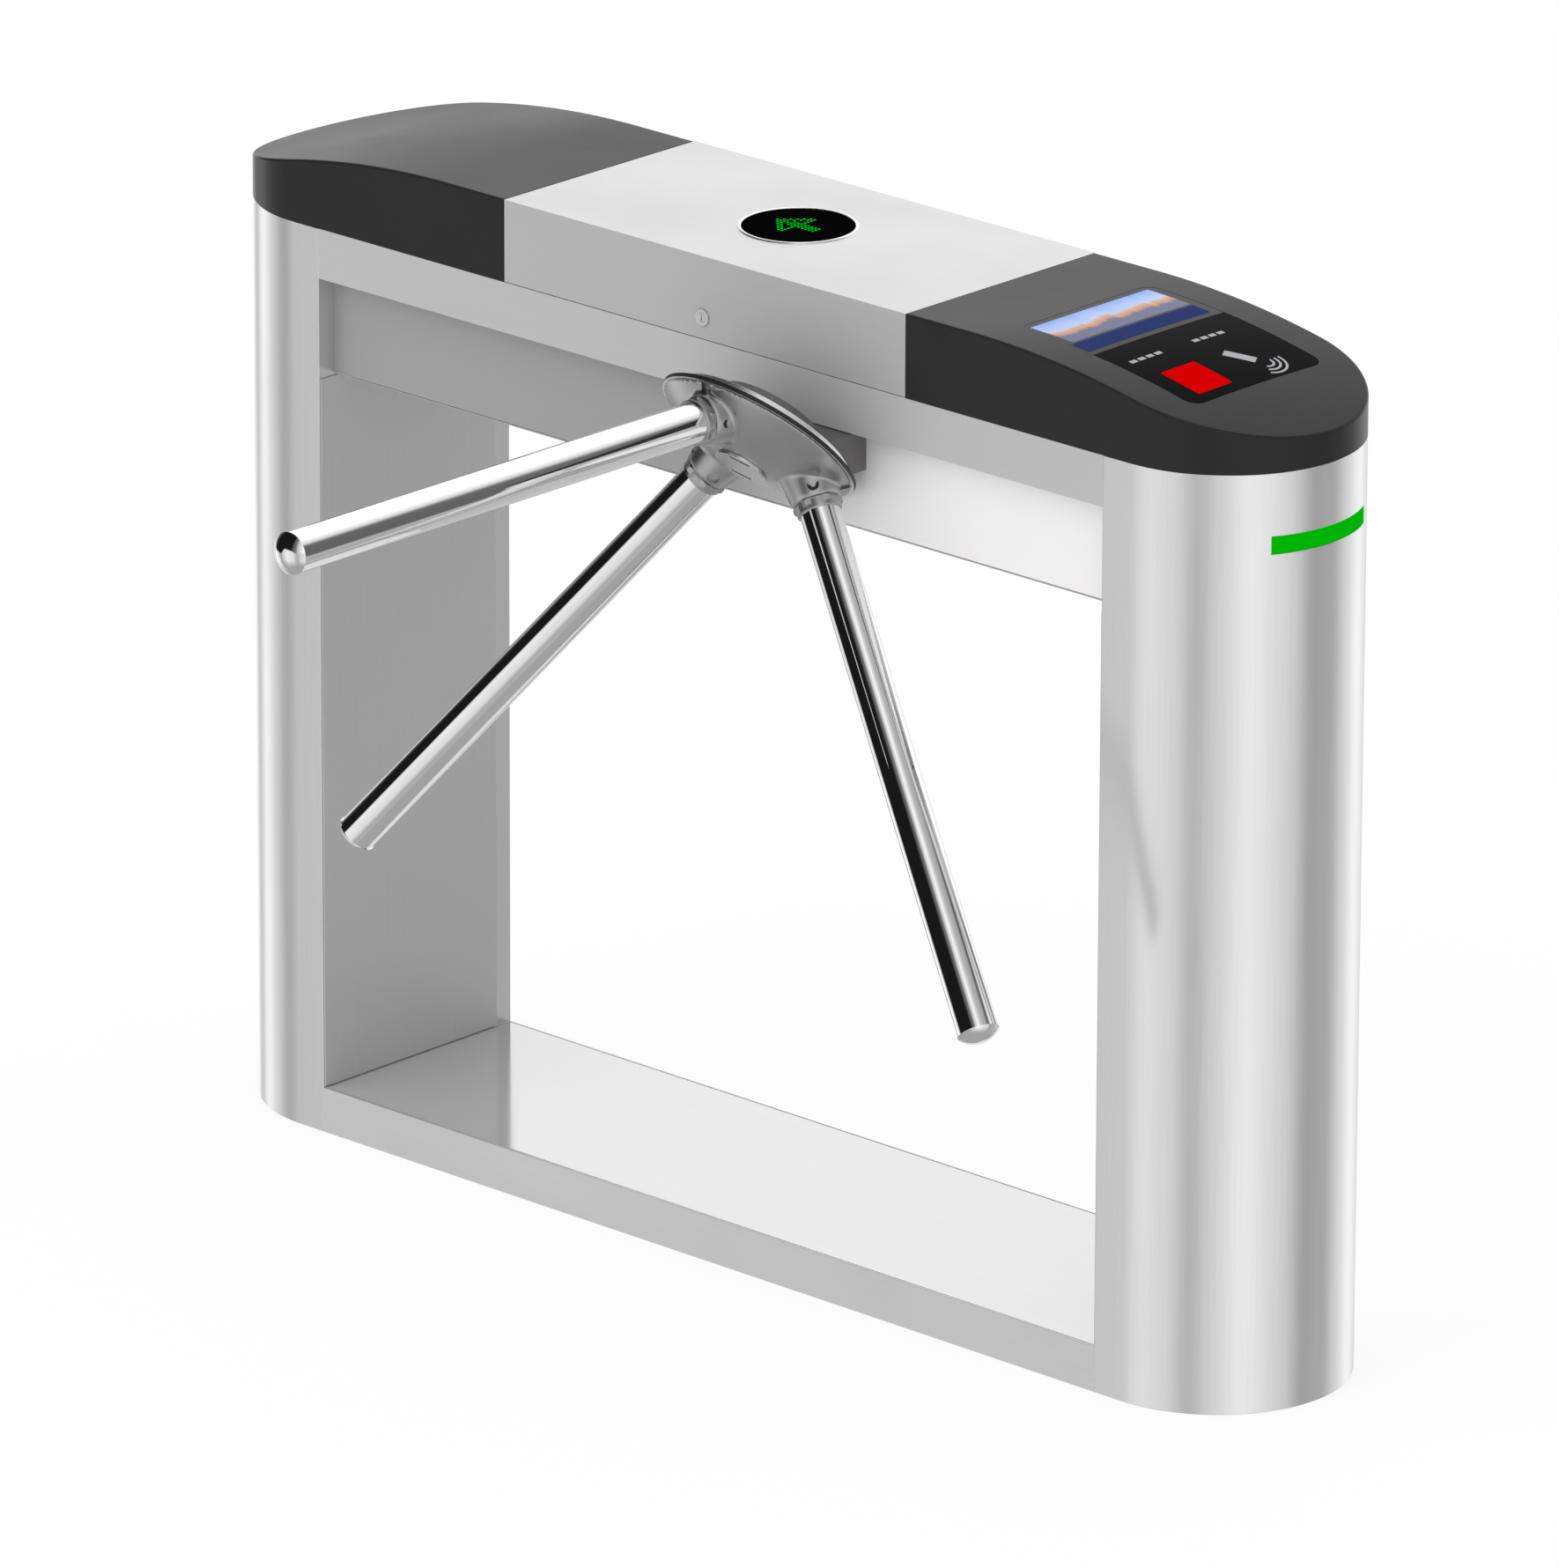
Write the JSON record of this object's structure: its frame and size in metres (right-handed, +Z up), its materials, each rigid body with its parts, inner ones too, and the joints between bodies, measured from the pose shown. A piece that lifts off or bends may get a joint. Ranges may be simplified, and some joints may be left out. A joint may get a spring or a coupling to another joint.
{
  "type": "tripod turnstile",
  "caption": "Round-ended steel turnstile cabinet with an open window, dark end caps, a reader window and a tilted tripod of chrome arms that turns to let people through one by one.",
  "frame": {"origin": "on the floor under the middle of the cabinet", "axes": "+X along the passage towards the end with the reader window, -Y towards the side where the tripod stands out, +Z up"},
  "size_m": [1.31, 0.9345, 0.9812],
  "materials": {
    "cabinet_steel": "fine brushed stainless sheet",
    "cover_steel": "fine brushed stainless sheet, bright",
    "panel_steel": "fine brushed stainless sheet in shade",
    "galvanised_steel": "dull galvanised",
    "cap_plastic": "dark charcoal, satin gloss",
    "window_plastic": "black, polished",
    "dark_moulding": "matt black",
    "arm_chrome": "polished tube",
    "hub_alloy": "satin cast alloy",
    "dark_casting": "dark grey satin",
    "bright_steel": "ground steel",
    "circuit_board": "green board",
    "black_parts": "matt black",
    "lamp_green": "lit green lens",
    "lamp_black": "black lens with a bright rim",
    "roller_rubber": "matt"
  },
  "bodies": {
    "cabinet": {"left_column": "cabinet_steel", "right_column": "cabinet_steel", "left_base_plate": "galvanised_steel", "right_base_plate": "galvanised_steel", "sill_trough": "cabinet_steel", "sill_cover": "cover_steel", "near_rail": "cabinet_steel", "far_rail": "cabinet_steel", "near_housing_panel": "panel_steel", "far_housing_panel": "panel_steel", "housing_floor": "panel_steel", "service_panels": "panel_steel", "left_end_cap": "cap_plastic", "right_end_cap": "cap_plastic", "cap_bridges": "galvanised_steel", "cap_screws": "bright_steel", "hinge_rail_leaves": "bright_steel", "hinge_pins": "bright_steel", "lock_strike": "galvanised_steel", "reader_window": "window_plastic", "reader_frame": "dark_moulding", "display_module": "black_parts", "card_reader": "circuit_board", "code_scanner": "black_parts", "light_strip": "lamp_green", "light_strip_board": "circuit_board", "backing_plate": "galvanised_steel", "neck_bracket": "dark_casting", "neck_bolts": "bright_steel", "spindle": "bright_steel", "spindle_screws": "bright_steel", "spindle_nut": "bright_steel", "solenoids": "black_parts", "solenoid_bracket": "galvanised_steel", "encoder_body": "black_parts", "control_board": "circuit_board", "power_supply": "galvanised_steel"},
    "rotor": {"hub_bearings": "bright_steel", "hub_body": "hub_alloy", "index_plate": "dark_casting", "index_screws": "bright_steel", "hub_cap": "hub_alloy", "arm_1": "arm_chrome", "arm_2": "arm_chrome", "arm_3": "arm_chrome", "arm_end_plugs": "arm_chrome", "arm_nuts": "bright_steel", "arm_bolts": "bright_steel"},
    "pin_1": {"lock_pin_1": "bright_steel"},
    "pin_2": {"lock_pin_2": "bright_steel"},
    "wheel": {"encoder_wheel": "roller_rubber"},
    "cover": {"centre_cover": "cover_steel", "hinge_cover_leaves": "bright_steel", "lock_housing": "arm_chrome", "lock_nut": "bright_steel", "indicator_lens": "lamp_black", "indicator_board": "circuit_board", "indicator_leds": "lamp_green"},
    "cover_lock": {"lock_plug": "bright_steel", "lock_cam": "galvanised_steel"}
  },
  "joints": [
    {"name": "rotor_turn", "type": "hinge", "parent": "cabinet", "child": "rotor", "pos_m": [0.124, -0.1515, 0.8815], "axis": [0, -0.7071, -0.7071], "continuous": true},
    {"name": "wheel_turn", "type": "hinge", "parent": "cabinet", "child": "wheel", "pos_m": [0.124, -0.12696, 0.79898], "axis": [0, -0.7071, -0.7071], "continuous": true},
    {"name": "pin_1_slide", "type": "slide", "parent": "cabinet", "child": "pin_1", "axis": [0, -0.7071, -0.7071], "range_m": [0, 0.0045], "stiffness_N_per_m": 400, "springref_m": -0.004},
    {"name": "pin_2_slide", "type": "slide", "parent": "cabinet", "child": "pin_2", "axis": [0, -0.7071, -0.7071], "range_m": [0, 0.0045], "stiffness_N_per_m": 400, "springref_m": -0.004},
    {"name": "cover_hinge", "type": "hinge", "parent": "cabinet", "child": "cover", "pos_m": [0, 0.132, 0.9], "axis": [-1, 0, 0], "range_deg": [0, 95]},
    {"name": "cover_lock_turn", "type": "hinge", "parent": "cover", "child": "cover_lock", "pos_m": [0, -0.128, 0.9215], "axis": [0, -1, 0], "range_deg": [0, 90]}
  ],
  "couplings": [
    {"joint": "wheel_turn", "follows": "rotor_turn", "ratio": 10.5}
  ]
}
